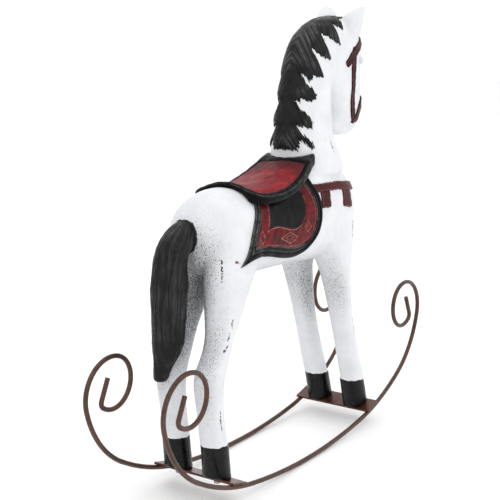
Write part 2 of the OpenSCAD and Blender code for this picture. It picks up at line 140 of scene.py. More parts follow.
def bvh(me):
    return BVHTree.FromPolygons([v.co / MM for v in me.vertices], [p.vertices[:] for p in me.polygons])


def outline_dist(px, pz, poly):
    """signed distance to a closed outline, positive inside"""
    poly = np.asarray(poly, float)
    a, b = poly, np.roll(poly, -1, 0)
    best = np.full(len(px), 1e9)
    inside = np.zeros(len(px), bool)
    for (ax, az), (bx, bz) in zip(a, b):
        dx, dz = bx - ax, bz - az
        t = np.clip(((px - ax) * dx + (pz - az) * dz) / (dx * dx + dz * dz + 1e-12), 0, 1)
        best = np.minimum(best, np.hypot(px - ax - t * dx, pz - az - t * dz))
        if abs(dz) > 1e-9:
            cross = ((az > pz) != (bz > pz)) & (px < dx * (pz - az) / dz + ax)
            inside ^= cross
    return np.where(inside, best, -best)


def line_dist(p, pts):
    """distance to an open run of points, in as many dimensions as the points have"""
    pts = np.asarray(pts, float)
    best = np.full(len(p), 1e9)
    for a, b in zip(pts[:-1], pts[1:]):
        d = b - a
        t = np.clip(((p - a) @ d) / (d @ d + 1e-12), 0, 1)
        best = np.minimum(best, np.linalg.norm(p - a - t[:, None] * d, axis=1))
    return best


def step(a, b, x):
    t = np.clip((x - a) / (b - a), 0, 1)
    return t * t * (3 - 2 * t)


def curve(pts, n=6, closed=True):
    """a smooth outline through the points"""
    p = np.asarray(pts, float)
    m = len(p)
    out = []
    for i in range(m if closed else m - 1):
        q = [p[(i + k) % m] if closed else p[min(max(i + k, 0), m - 1)] for k in (-1, 0, 1, 2)]
        for t in np.arange(n) / n:
            out.append(0.5 * (2 * q[1] + (q[2] - q[0]) * t + (2 * q[0] - 5 * q[1] + 4 * q[2] - q[3]) * t * t
                              + (3 * q[1] - q[0] - 3 * q[2] + q[3]) * t ** 3))
    if not closed:
        out.append(p[-1])
    return np.array(out)


def wave(x, y, seed, scale):
    """cheap smooth noise from a few fixed waves, about -1 to 1"""
    r = np.random.RandomState(seed)
    v = np.zeros_like(x)
    for _ in range(7):
        a, f, ph = r.uniform(0, TURN), r.uniform(0.6, 1.7) / scale, r.uniform(0, TURN)
        v += np.sin(TURN * f * (x * math.cos(a) + y * math.sin(a)) + ph)
    return v / 3.0


def put(me, name, values):
    a = me.attributes.get(name) or me.attributes.new(name, "FLOAT", "POINT")
    a.data.foreach_set("value", np.asarray(values, np.float32))


def smooth_shade(me):
    me.polygons.foreach_set("use_smooth", [True] * len(me.polygons))


# ---------------------------------- materials
class Mat:
    def __init__(s, name, rough=0.5, spec=0.5):
        s.m = bpy.data.materials.new(name)
        s.m.use_nodes = True
        s.t = s.m.node_tree
        s.p = s.t.nodes["Principled BSDF"]
        s.p.inputs["Roughness"].default_value = rough
        s.p.inputs["Specular IOR Level"].default_value = spec
        s.obj = s.t.nodes.new("ShaderNodeTexCoord").outputs["Object"]

    def link(s, a, b):
        s.t.links.new(a, b)

    def val(s, sock, v):
        if isinstance(v, bpy.types.NodeSocket):
            s.link(v, sock)
        else:
            sock.default_value = v

    def noise(s, scale, detail=4, rough=0.55, warp=0.0, vec=None):
        n = s.t.nodes.new("ShaderNodeTexNoise")
        n.inputs["Scale"].default_value = scale
        n.inputs["Detail"].default_value = detail
        n.inputs["Roughness"].default_value = rough
        n.inputs["Distortion"].default_value = warp
        s.link(vec or s.obj, n.inputs["Vector"])
        return n.outputs["Fac"]

    def streak(s, scale):
        """noise across the strands only, so that it runs along them"""
        n = s.t.nodes.new("ShaderNodeTexNoise")
        n.noise_dimensions = "1D"
        n.inputs["Scale"].default_value = scale
        n.inputs["Detail"].default_value = 3
        n.inputs["Roughness"].default_value = 0.7
        s.link(s.attr("strand"), n.inputs["W"])
        return n.outputs["Fac"]

    def stretch(s, x, y, z):
        n = s.t.nodes.new("ShaderNodeMapping")
        n.inputs["Scale"].default_value = (x, y, z)
        s.link(s.obj, n.inputs["Vector"])
        return n.outputs["Vector"]

    def attr(s, name):
        n = s.t.nodes.new("ShaderNodeAttribute")
        n.attribute_name = name
        return n.outputs["Fac"]

    def math(s, op, a, b=0.0, clamp=False):
        n = s.t.nodes.new("ShaderNodeMath")
        n.operation = op
        n.use_clamp = clamp
        s.val(n.inputs[0], a)
        s.val(n.inputs[1], b)
        return n.outputs[0]

    def ease(s, x, a, b, lo=0.0, hi=1.0):
        n = s.t.nodes.new("ShaderNodeMapRange")
        n.interpolation_type = "SMOOTHSTEP"
        s.val(n.inputs["Value"], x)
        for k, v in (("From Min", a), ("From Max", b), ("To Min", lo), ("To Max", hi)):
            n.inputs[k].default_value = v
        return n.outputs["Result"]

    def ramp(s, x, *stops):
        n = s.t.nodes.new("ShaderNodeValToRGB")
        e = n.color_ramp.elements
        while len(e) < len(stops):
            e.new(0.5)
        for k, (at, c) in enumerate(stops):
            e[k].position = at
            e[k].color = (*c, 1)
        s.link(x, n.inputs["Fac"])
        return n.outputs["Color"]

    def mix(s, f, a, b):
        n = s.t.nodes.new("ShaderNodeMix")
        n.data_type = "RGBA"
        s.val(n.inputs[0], f)
        for k, v in ((6, a), (7, b)):
            s.val(n.inputs[k], v if isinstance(v, bpy.types.NodeSocket) else (*v, 1))
        return n.outputs[2]

    def color(s, c):
        s.val(s.p.inputs["Base Color"], c)

    def rough(s, r):
        s.val(s.p.inputs["Roughness"], r)

    def bump(s, *layers):
        last = None
        for h, strength, dist in layers:
            b = s.t.nodes.new("ShaderNodeBump")
            b.inputs["Strength"].default_value = strength
            b.inputs["Distance"].default_value = dist * MM
            s.link(h, b.inputs["Height"])
            if last:
                s.link(last, b.inputs["Normal"])
            last = b.outputs["Normal"]
        s.link(last, s.p.inputs["Normal"])


def lin(*c):
    """display colour 0-255 to linear"""
    return tuple(((v / 255 + 0.055) / 1.055) ** 2.4 if v > 10 else v / 255 / 12.92 for v in c)


def white_paint():
    m = Mat("white_paint", 0.5, 0.3)
    cloud = m.noise(60, 5, 0.6)
    c = m.ramp(cloud, (0.3, lin(212, 214, 217)), (0.55, lin(221, 223, 226)), (0.8, lin(228, 229, 231)))
    yellow = m.ease(m.noise(140, 4), 0.62, 0.8, 0, 0.18)
    c = m.mix(yellow, c, lin(206, 202, 192))
    painted_shade = m.attr("painted_shade")
    # painted shade on the backs, inner faces and undersides, and the fine dark spatter, which is real but
    # lies more thickly where the painted shade is
    soft = m.math("MULTIPLY", painted_shade, m.ease(m.noise(260, 3, 0.6), 0.1, 0.75, 0.42, 0.66))
    c = m.mix(soft, c, lin(96, 98, 102))
    grain = m.noise(1500, 2, 0.6)
    cut = m.math("SUBTRACT", 0.80, m.math("MULTIPLY", m.math("POWER", painted_shade, 0.5), 0.35))
    dots = m.ease(m.math("SUBTRACT", grain, cut), 0.0, 0.035)
    c = m.mix(m.math("MULTIPLY", dots, 0.85), c, lin(40, 41, 44))
    big = m.ease(m.noise(620, 1, 0.5), 0.795, 0.82)
    c = m.mix(m.math("MULTIPLY", big, 0.7), c, lin(62, 60, 60))
    # scratches through to dark ground, with broken edges
    j = m.noise(900, 3, 0.7)
    j2 = m.noise(300, 2, 0.6)
    wob = m.math("ADD", m.math("MULTIPLY", j, 3.6), m.math("MULTIPLY", j2, 1.6))
    sc = m.ease(m.math("SUBTRACT", m.math("SUBTRACT", 2.95, m.attr("scratch")), wob), -0.08, 0.12)
    c = m.mix(sc, c, lin(34, 30, 30))
    rd = m.ease(m.math("SUBTRACT", m.math("SUBTRACT", 3.3, m.attr("red")), wob), -0.08, 0.12)
    c = m.mix(rd, c, lin(96, 16, 20))
    # worn spots where the paint is thin on ridges
    patchy = m.math("MULTIPLY", m.attr("edge"), m.ease(m.noise(420, 4, 0.65), 0.5, 0.68))
    c = m.mix(m.math("MULTIPLY", patchy, 0.8), c, lin(88, 80, 72))
    # black hair and hoof paint that laps onto the white, with a ragged edge
    wide = m.math("MULTIPLY", m.math("SUBTRACT", j2, 0.5), 2.2)
    fine = m.math("MULTIPLY", m.math("SUBTRACT", j, 0.5), 1.4)
    bl = m.ease(m.math("SUBTRACT", m.attr("black"), m.math("ADD", wide, fine)), -0.1, 0.15)
    c = m.mix(bl, c, m.ramp(cloud, (0.3, lin(24, 25, 26)), (0.8, lin(44, 45, 47))))
    m.color(c)
    m.rough(m.math("ADD", m.ease(m.noise(90, 3), 0.3, 0.7, 0.4, 0.55), m.math("MULTIPLY", sc, 0.3), True))
    m.bump((m.noise(45, 3, 0.5), 0.25, 0.8), (m.noise(420, 3, 0.5), 0.18, 0.12),
           (m.math("SUBTRACT", 1.0, sc), 0.5, 0.15))
    return m.m


def black_paint(name, gloss, spec=0.2, sheen=None):
    """sheen: how much a lock of hair shines in painted sheen patches, which come with painted highlight
    streaks along the strands and painted shade in the grooves between them; without it the paint has pale
    lines along its line attribute instead, which on the saddle rim are painted highlight
    """
    m = Mat(name, gloss, spec)
    cloud = m.noise(110, 4, 0.6)
    c = m.ramp(cloud, (0.25, lin(10, 10, 11)), (0.6, lin(17, 17, 18)), (0.85, lin(28, 29, 30)))
    if sheen is not None:
        ridge = m.attr("ridge")
        # painted highlight streaks along the raised strands, then painted sheen in patches on them
        brush = m.math("MULTIPLY", m.ease(m.streak(0.9), 0.5, 0.8), m.ease(m.noise(80, 4, 0.55), 0.46, 0.7))
        brush = m.math("MULTIPLY", brush, m.ease(ridge, 0.2, 0.9, 0.3, 1))
        patch = m.math("MULTIPLY", m.ease(m.noise(55, 3, 0.5), 0.42, 0.68, 0, sheen), m.ease(ridge, 0.3, 0.8))
        c = m.mix(patch, c, lin(82, 83, 85))
        c = m.mix(m.math("MULTIPLY", brush, 0.7), c, lin(98, 100, 102))
        # painted shade in the grooves between the strands
        c = m.mix(m.ease(ridge, 0.0, 0.4, 0.75, 0.0), c, lin(4, 4, 5))
    else:
        # pale lines along the line attribute: on the saddle rim a painted highlight along its top outer edge
        # and its up-facing front band, on the flap border and panel pale lines along their edges and groove
        pale_line_and_highlight = m.math("MULTIPLY", m.attr("line"), m.ease(m.noise(240, 4, 0.6), 0.3, 0.6))
        c = m.mix(m.math("MULTIPLY", pale_line_and_highlight, 0.8), c, lin(112, 114, 113))
    spot = m.ease(m.noise(520, 2, 0.5), 0.77, 0.8)
    c = m.mix(m.math("MULTIPLY", spot, 0.4), c, lin(104, 102, 98))
    chipped = m.math("SUBTRACT", 0.8, m.attr("chip"))
    chip = m.ease(m.math("SUBTRACT", chipped, m.math("MULTIPLY", m.noise(700, 3, 0.7), 0.8)), -0.05, 0.1)
    c = m.mix(chip, c, lin(214, 212, 206))
    m.color(c)
    m.rough(m.ease(m.noise(160, 4), 0.3, 0.7, gloss - 0.1, gloss + 0.14))
    m.bump((m.noise(70, 3, 0.5), 0.25, 0.6), (m.noise(600, 3, 0.6), 0.25, 0.1))
    return m.m


def red_paint(name, a, b, dark, gloss, speck=0.0, line=0.0, blotch=0.7, shaded=False):
    m = Mat(name, gloss, 0.1)
    n1, n2 = m.noise(70, 5, 0.65), m.noise(260, 5, 0.7)
    c = m.mix(m.ease(n1, 0.35, 0.68), a, b)
    c = m.mix(m.ease(n2, 0.42, 0.72, 0, blotch), c, dark)
    if shaded:
        # painted shade on the seat, taken from its shade attribute and made patchy by noise
        patchy = m.ease(m.noise(150, 5, 0.7), 0.2, 0.6, 0.55, 0.95)
        c = m.mix(m.math("MULTIPLY", m.attr("shade"), patchy), c, lin(50, 34, 36))
    if speck:
        sp = m.ease(m.noise(900, 2, 0.5), 0.735, 0.765)
        c = m.mix(m.math("MULTIPLY", sp, speck), c, lin(232, 116, 112))
        sp2 = m.ease(m.noise(1400, 2, 0.6), 0.68, 0.75)
        c = m.mix(m.math("MULTIPLY", sp2, 0.4), c, lin(50, 14, 18))
    if line:
        broken = m.math("MULTIPLY", m.math("SUBTRACT", m.noise(500, 3), 0.5), 0.9)
        l = m.ease(m.math("ADD", m.attr("line"), broken), 0.12, 0.34, 1, 0)
        c = m.mix(m.math("MULTIPLY", l, line), c, lin(168, 104, 100))
    m.color(c)
    m.rough(m.ease(m.noise(140, 4), 0.3, 0.7, gloss - 0.08, gloss + 0.14))
    m.bump((m.noise(80, 3, 0.5), 0.2, 0.5), (m.noise(480, 4, 0.6), 0.3, 0.1))
    return m.m


def metal_paint(name, a, b, hi, dark, gloss):
    m = Mat(name, gloss, 0.5)
    m.p.inputs["Metallic"].default_value = 0.35
    n1, n2 = m.noise(45, 4, 0.6), m.noise(700, 4, 0.65)
    c = m.mix(m.ease(n1, 0.35, 0.65), a, b)
    c = m.mix(m.ease(n2, 0.5, 0.75, 0, 0.5), c, hi)
    c = m.mix(m.ease(m.noise(330, 3, 0.6), 0.66, 0.76, 0, 0.6), c, dark)
    m.color(c)
    m.rough(m.ease(m.noise(260, 4), 0.3, 0.7, gloss - 0.08, gloss + 0.12))
    m.bump((m.noise(1100, 3, 0.6), 0.3, 0.06), (m.noise(150, 3), 0.2, 0.25))
    return m.m


def wood():
    m = Mat("bare_wood", 0.7, 0.3)
    g = m.noise(90, 4, 0.6, 0.6, m.stretch(1, 1, 0.08))
    m.color(m.ramp(g, (0.3, lin(150, 112, 74)), (0.7, lin(206, 170, 122))))
    m.bump((g, 0.3, 0.2))
    return m.m


def eye_white():
    m = Mat("eye_white", 0.35, 0.3)
    m.color(m.ramp(m.noise(180, 3), (0.3, lin(198, 204, 212)), (0.7, lin(216, 220, 225))))
    return m.m


M_WHITE = white_paint()
M_HAIR = black_paint("hair_black", 0.4, sheen=0.3)
M_MANE = black_paint("mane_black", 0.36, sheen=0.85)
M_HOOF = black_paint("hoof_black", 0.26)
M_SADDLE_BLACK = black_paint("saddle_black", 0.36, spec=0.06)
M_SEAT = red_paint("saddle_red", lin(118, 29, 35), lin(152, 46, 51), lin(72, 17, 22), 0.48, speck=0.8,
                   shaded=True)
M_FLAP_RED = red_paint("flap_red", lin(74, 5, 10), lin(122, 8, 13), lin(24, 3, 6), 0.26, speck=0.1, line=0.9,
                       blotch=0.95)
M_STRAP = red_paint("strap_red", lin(60, 12, 15), lin(86, 19, 23), lin(28, 6, 9), 0.34, line=0.28)
M_BRIDLE = red_paint("bridle_red", lin(36, 6, 10), lin(56, 10, 14), lin(16, 4, 6), 0.3, line=0.2)
M_ROD = metal_paint("rocker_brown", lin(62, 39, 28), lin(82, 54, 40), lin(116, 86, 66), lin(38, 25, 20), 0.34)
M_PLATE = metal_paint("plate_brown", lin(66, 32, 22), lin(84, 46, 32), lin(104, 72, 58), lin(36, 22, 18),
                      0.28)
M_STEEL = metal_paint("screw_steel", lin(120, 120, 124), lin(150, 150, 152), lin(180, 180, 180),
                      lin(70, 68, 66), 0.35)
M_WOOD = wood()
M_EYE = eye_white()


def paint(o, m, slot):
    o.data.materials.clear()
    o.data.materials.append(m)
    smooth_shade(o.data)


# ---------------------------------- the white wooden horse, as one smooth skin
V = 0.9
WHITE = ["torso", "neck", "head", "ear_left", "ear_right", "foreleg_left", "foreleg_right", "hind_leg_left",
         "hind_leg_right"]
HOOVES = ["hoof_front_left", "hoof_front_right", "hoof_rear_left", "hoof_rear_right"]
skin = remesh(joined("skin", WHITE + HOOVES), V)
smooth(skin.data, 60)


def brush(co, no, centre, r, depth, stretch=(1, 1, 1)):
    d = np.linalg.norm((co - centre) / (np.array(r) * np.array(stretch)), axis=1)
    return co - no * (depth * np.exp(-d * d * 1.6))[:, None]


def carve(me):
    co, no = coords(me), normals(me)
    for s in (-1, 1):
        # eye socket with a brow ridge over it
        co = brush(co, no, (96, s * 12, 275), 5.5, 1.3, (1.1, 1, 0.8))
        co = brush(co, no, (95, s * 12.5, 281.5), 4.5, -1.1, (1.5, 1, 0.6))
        co = brush(co, no, (100, s * 9, 262), 8, 0.7, (0.7, 1, 1.4))
        # cheek, nostril and lips
        co = brush(co, no, (76, s * 13, 254), 11, -0.9)
        co = brush(co, no, (106.5, s * 5.2, 233.5), 2.4, 1.6, (0.8, 1, 1.2))
        co = brush(co, no, (105.5, s * 6.4, 237), 3, -0.6, (1, 1, 0.8))
        lip = curve([[76.5, 227.6], [81, 227.4], [86, 230], [93, 229.6], [100, 227.6], [108, 227]], 6, False)
        d = line_dist(co[:, [0, 2]], lip)
        on = (co[:, 1] * s > 0) & (co[:, 2] < 234)
        co = co - no * (np.where(on, 0.9 * np.exp(-(d / 0.9) ** 2), 0))[:, None]
        # shoulder, stifle and thigh
        co = brush(co, no, (60, s * 25, 160), 11, -0.8, (1, 1, 1.6))
        co = brush(co, no, (28, s * 26, 143), 10, 0.9, (1.2, 1, 0.8))
        co = brush(co, no, (-42, s * 26, 150), 12, 0.8, (1, 1, 1))
        co = brush(co, no, (-78, s * 26, 165), 16, -0.7)
        # knees and hocks
        co = brush(co, no, (70, s * 16, 82), 6, -0.5)
        co = brush(co, no, (-110, s * 15, 82), 5, -0.6)
        co = brush(co, no, (-97, s * 22, 93), 8, 0.4)
        # inside of the ear, which looks forward
        axis = np.array([[90, s * 9.5, 300], [92, s * 11.5, 305], [92.5, s * 14, 310.5]])
        d = line_dist(co, axis)
        front = np.clip(no[:, 0] * 0.9 + no[:, 1] * s * 0.2, 0, 1)
        co = co - no * (1.5 * front * np.exp(-(d / 2.6) ** 2))[:, None]
    # groove between the halves of the chest and of the rump
    for pts in (((80, 0, 190), (86, 0, 168), (74, 0, 146)), ((-96, 0, 190), (-102, 0, 170), (-92, 0, 148))):
        d = line_dist(co, curve(pts, 8, False))
        co = co - no * (0.8 * np.exp(-(d / 3.5) ** 2))[:, None]
    set_coords(me, co)


carve(skin.data)
S_CO, S_NO = coords(skin.data), normals(skin.data)
X, Y, Z = S_CO.T
S_TREE = bvh(skin.data)

# paint masks, worked out on the skin and kept as attributes
tail_src = remesh(joined("tail_src", ["tail"]), 0.8)
smooth(tail_src.data, 12)
T_TREE = bvh(tail_src.data)


def paint_masks():
    # painted shade on the back and inner faces of the hind legs
    rear = np.exp(-((Z - 150) / 34) ** 2) * step(-74, -96, X) * step(30, 8, np.abs(Y))
    inner = np.exp(-((Z - 128) / 44) ** 2) * step(0.1, -0.7, S_NO[:, 1] * np.sign(Y)) * step(-60, -72, X)
    back = np.exp(-((Z - 96) / 46) ** 2) * step(-0.1, -0.8, S_NO[:, 0]) * step(-60, -80, X)
    painted_shade = np.maximum.reduce([0.75 * rear * step(0.3, -0.5, S_NO[:, 0]), 0.9 * inner, 0.42 * back])
    # painted shade on the rear and inner faces of the forelegs, below the flap
    fr = np.exp(-((Z - 118) / 34) ** 2) * step(10, 24, X) * step(0.2, -0.7, S_NO[:, 0])
    fi = np.exp(-((Z - 110) / 40) ** 2) * step(10, 24, X) * step(0.1, -0.8, S_NO[:, 1] * np.sign(Y))
    painted_shade = np.maximum.reduce([painted_shade, 0.42 * fr, 0.55 * fi])
    # painted shade under the belly, under the jaw and the throat, round the ears
    painted_shade = np.maximum(painted_shade, 0.4 * step(-0.5, -1, S_NO[:, 2]) * step(120, 135, Z) * step(180, 160, Z))
    painted_shade = np.maximum(painted_shade, 0.35 * np.exp(-np.linalg.norm((S_CO - (66, 0, 238)) / (10, 16, 14), axis=1) ** 2))
    painted_shade = np.maximum(painted_shade, 0.4 * np.exp(-np.linalg.norm((S_CO - (92, 0, 300)) / (9, 12, 6), axis=1) ** 2))
    painted_shade = np.maximum(painted_shade, 0.5 * np.exp(-np.linalg.norm((S_CO - (107, 0, 230)) / (7, 9, 8), axis=1) ** 2))
    painted_shade = painted_shade * (0.85 + 0.15 * wave(X, Z, 3, 30))
    put(skin.data, "painted_shade", np.clip(painted_shade, 0, 1))
    marks = [
        [(-93.2, -20.6, 159.9), (-93.7, -21, 152.5), (-94.3, -21.3, 145.6)],
        [(-89.5, -24, 112), (-91.5, -23.6, 106), (-94.5, -23.1, 101)],
        [(-88, -24, 121), (-88.6, -24, 116)],
        [(-99.2, -23.5, 63), (-98.1, -23.4, 50.7)],
        [(68.8, -24, 89.4), (72.5, -24, 74.6)],
        [(60.6, -26.1, 161), (61.5, -26.2, 150.6)],
        [(40.3, -18.8, 222), (41.2, -20.8, 213.5)],
        [(-52, 27, 168), (-49, 27, 158)], [(62, 27, 152), (64, 26, 142)], [(70, 25, 100), (72, 25, 92)],
        [(-90, 24, 66), (-91, 24, 58)], [(40, 16, 236), (41, 16, 228)], [(-94, 22, 150), (-95, 22, 144)],
    ]
    on_skin = lambda q: S_TREE.find_nearest(Vector(q))[0]
    d = np.full(len(S_CO), FAR)
    for run in marks:
        pairs = zip(run[:-1], run[1:])
        fine = [np.array(a) + (np.array(b) - a) * t for a, b in pairs for t in (0, 0.34, 0.67)] + [run[-1]]
        fine = [q + 0.45 * np.array([math.sin(5 * k), 0, math.cos(7 * k)]) for k, q in enumerate(fine)]
        d = np.minimum(d, line_dist(S_CO, [on_skin(q) for q in fine]))
    for q in ((-110, -15.7, 78), (-84, -25.6, 152), (-101.5, -23.4, 68), (62, -26, 132), (74, 24, 60)):
        d = np.minimum(d, 0.5 + np.linalg.norm(S_CO - on_skin(q), axis=1))
    put(skin.data, "scratch", d)
    put(skin.data, "red", line_dist(S_CO, [(-85.5, -25.5, 157.4), (-81.5, -26, 156.8)]))
    # ridges, where a brush or a hand takes the paint off: how far a point stands out of its surroundings
    e = edges_of(skin.data)
    flat = spread(S_CO, e, 24, (0.6,))
    out = np.einsum("ij,ij->i", S_CO - flat, S_NO)
    put(skin.data, "edge", np.clip((out - 0.45) / 0.8, 0, 1))
    # black of the tail laps onto the rump
    black = np.full(len(S_CO), -FAR)
    near = np.nonzero((X < -70) & (Z > 80))[0]
    for i in near:
        hit = T_TREE.find_nearest(Vector(S_CO[i]), 6)
        if hit[0] is not None:
            facing = S_NO[i, 1] * 0.6 + S_NO[i, 2] * -0.3
            reach = 1.2 + 2.2 * step(146, 172, S_CO[i, 2]) * step(0.3, -0.9, facing)
            black[i] = reach - hit[3]
    # hoof paint laps a little up the legs
    lap = 0.4
    black = np.maximum(black, np.where(X > 0, FRONT_HOOF_TOP + lap, REAR_HOOF_TOP + lap) - Z)
    put(skin.data, "black", black)
    put(skin.data, "chip", np.full(len(S_CO), FAR))
    a = skin.data.attributes.new("nrm", "FLOAT_VECTOR", "POINT")
    a.data.foreach_set("vector", S_NO.astype(np.float32).ravel())


paint_masks()


# ---------------------------------- the skin, cut into its wooden pieces
def cut(bm, axis, at, keep):
    """keeps the side of the plane where keep is +1 (above) or -1 (below)"""
    n = Vector((0, 0, 0))
    n[axis] = keep
    p = Vector((0, 0, 0))
    p[axis] = at * MM
    bmesh.ops.bisect_plane(bm, geom=bm.verts[:] + bm.edges[:] + bm.faces[:], dist=1e-7, plane_co=p,
                           plane_no=n, clear_inner=True)
    return bm


def part(*cuts):
    bm = bmesh.new()
    bm.from_mesh(skin.data)
    for c in cuts:
        cut(bm, *c)
    return bm


def loose(bm):
    seen, groups = set(), []
    for v in bm.verts:
        if v.index in seen:
            continue
        stack, g = [v], []
        seen.add(v.index)
        while stack:
            a = stack.pop()
            g.append(a)
            for e in a.link_edges:
                b = e.other_vert(a)
                if b.index not in seen:
                    seen.add(b.index)
                    stack.append(b)
        groups.append(g)
    return groups


def keep_if(bm, test):
    bm.verts.index_update()
    for g in loose(bm):
        c = sum((v.co for v in g), Vector()) / len(g) / MM
        if not test(c):
            bmesh.ops.delete(bm, geom=g, context="VERTS")
            bm.verts.index_update()
            return keep_if(bm, test)
    return bm


def merge(*bms):
    out = bmesh.new()
    tmp = bpy.data.meshes.new("tmp")
    for b in bms:
        b.to_mesh(tmp)
        out.from_mesh(tmp)
        b.free()
    bpy.data.meshes.remove(tmp)
    bmesh.ops.remove_doubles(out, verts=out.verts, dist=2e-6)
    return out


def piece(name, bm, mat, slot, *nodes):
    bmesh.ops.holes_fill(bm, edges=[e for e in bm.edges if e.is_boundary], sides=0)
    me = bpy.data.meshes.new(name)
    bm.to_mesh(me)
    bm.free()
    o = bpy.data.objects.new(name, me)
    SC.collection.objects.link(o)
    paint(o, mat, slot)
    if "nrm" in me.attributes:
        a = np.zeros(len(me.vertices) * 3, np.float32)
        me.attributes["nrm"].data.foreach_get("vector", a)
        a = a.reshape(-1, 3)
        a /= np.maximum(np.linalg.norm(a, axis=1, keepdims=True), 1e-6)
        me.normals_split_custom_set_from_vertices(a.tolist())
        me.attributes.remove(me.attributes["nrm"])
    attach(o, "root")
    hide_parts(*nodes)
    return o


def legs():
    for f, kind, end, top, hoof in ((1, "foreleg", "front", FORE_TOP, FRONT_HOOF_TOP),
                                    (-1, "hind_leg", "rear", HIND_TOP, REAR_HOOF_TOP)):
        for s, side in SIDES:
            quarter = ((0, 0, f), (1, 0, s))
            piece(f"wood_{kind.replace('_', '')}_{side}", part((2, top, -1), (2, hoof, 1), *quarter), M_WHITE,
                  "white_paint", f"{kind}_{side}")
            piece(f"painted_hoof_{end}_{side}", part((2, hoof, -1), *quarter), M_HOOF, "hoof_black",
                  f"hoof_{end}_{side}")


def body():
    low = (part((2, NECK_Z, -1), (2, FORE_TOP, 1), (0, 0, 1)),
           part((2, NECK_Z, -1), (2, HIND_TOP, 1), (0, 0, -1)))
    piece("wood_torso", merge(*low), M_WHITE, "white_paint", "torso")
    # below the throat the neck and the muzzle are apart, so each loose part goes to the side it lies on
    between = ((2, NECK_Z, 1), (2, THROAT_Z, -1))
    neck = (part((2, THROAT_Z, 1), (0, FACE_X, -1)),
            keep_if(part(*between), lambda c: c.x < FACE_X + 1))
    piece("wood_neck", merge(*neck), M_WHITE, "white_paint", "neck")
    above = part((2, THROAT_Z, 1), (2, EAR_Z, -1), (0, FACE_X, 1))
    piece("wood_head", merge(above, keep_if(part(*between), lambda c: c.x >= FACE_X + 1)), M_WHITE,
          "white_paint", "head")
    for s, side in SIDES:
        piece(f"wood_ear_{side}", part((2, EAR_Z, 1), (1, 0, s)), M_WHITE, "white_paint", f"ear_{side}")


legs()
body()


# ---------------------------------- raised, painted carving that stands on the skin
def relief(name, poly, height, level, region, mat, slot, nodes, margin=1.6, base=None, up=2):
    """poly: outline in the side view, or in the plan for up=1; height(d, p) gives how far a point
    stands out of the base, d mm inside the outline"""
    me0 = base.data if base else skin.data
    b_co, b_no = (coords(me0), normals(me0)) if base else (S_CO, S_NO)
    d = outline_dist(b_co[:, 0], b_co[:, up], poly)
    ok = (d > -margin - V) & region(b_co, b_no)
    faces = [p.vertices[:] for p in me0.polygons if all(ok[i] for i in p.vertices)]
    used = np.unique(np.concatenate([np.array(f) for f in faces]))
    back = np.full(len(b_co), -1)
    back[used] = np.arange(len(used))
    tmp = new_object("tmp", b_co[used], [[back[i] for i in f] for f in faces])
    m = tmp.modifiers.new("s", "SUBSURF")
    m.levels = m.render_levels = level
    m.boundary_smooth = "PRESERVE_CORNERS"
    baked(tmp)
    co, no = coords(tmp.data), normals(tmp.data)
    d = outline_dist(co[:, 0], co[:, up], poly)
    h, attrs = height(d, co)
    quads = np.array([p.vertices[:] for p in tmp.data.polygons])
    keep = (h[quads] > -0.28).any(1)
    quads = quads[keep]
    used = np.unique(quads)
    back = np.full(len(co), -1)
    back[used] = np.arange(len(used))
    quads = back[quads]
    co, no, h = co[used], no[used], h[used]
    n = len(co)
    top = co + no * np.maximum(h, -0.3)[:, None]
    low = co - no * 0.75
    ed = np.concatenate([quads[:, [k, (k + 1) % 4]] for k in range(4)])
    key = ed[:, 0] * n + ed[:, 1]
    rim = ed[~np.isin(key, ed[:, 1] * n + ed[:, 0])]
    wall = [[int(b), int(a), int(a) + n, int(b) + n] for a, b in rim]
    allf = quads.tolist() + (quads[:, ::-1] + n).tolist() + wall
    bpy.data.objects.remove(tmp)
    o = new_object(name, np.vstack([top, low]), allf)
    for k, v in attrs.items():
        put(o.data, k, np.concatenate([v[used], v[used]]))
    paint(o, mat, slot)
    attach(o, "root")
    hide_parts(*nodes)


def side_of(s):
    """one side of the horse, from 8 mm out of its middle plane"""
    return lambda p, n: p[:, 1] * s > 8


FLAP = curve([[-50, 203], [-54.5, 196], [-58.6, 190], [-63.4, 183], [-68.2, 175.5], [-72.4, 168],
    [-76.6, 160], [-82.8, 153]], 4, False)
FLAP = np.vstack([FLAP, curve([[-82.8, 153], [-74, 155.6], [-66, 156.4], [-57, 156], [-47, 154.5],
    [-36, 151.9], [-25, 149.5], [-14, 148.1], [-5, 148.9], [1.5, 151.2], [6.5, 155], [11.3, 160],
    [14.4, 166], [15.8, 173], [15.4, 181], [13.6, 188], [10, 195], [5, 204], [-30, 206]], 4, False)[1:]])
PANEL = np.vstack([curve([[-43, 206], [-45.5, 186], [-48.5, 179], [-51.5, 172]],
    5, False), curve([[-51.5, 172], [-45, 173.4], [-38, 172.8], [-31, 171], [-25, 169.4], [-18.5, 168.6],
    [-12.5, 169.8], [-8.2, 173.2], [-5.6, 178.5], [-4.2, 185], [-5, 191], [-9, 206]], 5, False)[1:]])
DIAMONDS = [((-57.8, 173.2), (-54.4, 168.6), (-57.6, 164.6), (-61.6, 169.6)),
            ((-25.4, 167.4), (-14.6, 162.6), (-23.2, 159.6), (-35.6, 164.9)),
            ((-2.2, 171.6), (1.9, 167.3), (-1.8, 164), (-6.2, 168.4))]


def border_width(p):
    return 5.2 + np.maximum(2.6 * step(170, 158, p[:, 2]), 2.4 * step(-8, 8, p[:, 0]))


def bell(d, at, width):
    return np.exp(-((d - at) / width) ** 2)


def border_h(d, p):
    w = border_width(p)
    a = step(0, 0.7, d) * step(w + 0.3, w - 0.2, d)
    h = -0.35 + a * 1.9
    h -= 0.8 * bell(d, w * 0.5, 0.42) * a
    h += (0.3 * bell(d, w * 0.25, w * 0.14) + 0.25 * bell(d, w * 0.75, w * 0.14)) * a
    thin = 0.34
    line = bell(d - w * 0.5, 0.5, thin) + 0.7 * bell(d, 0.4, thin) + 0.8 * bell(d - w, -0.25, thin)
    return np.where(d < 0, d * 0.8, h), {"line": np.clip(line, 0, 1), "chip": np.full(len(d), FAR)}


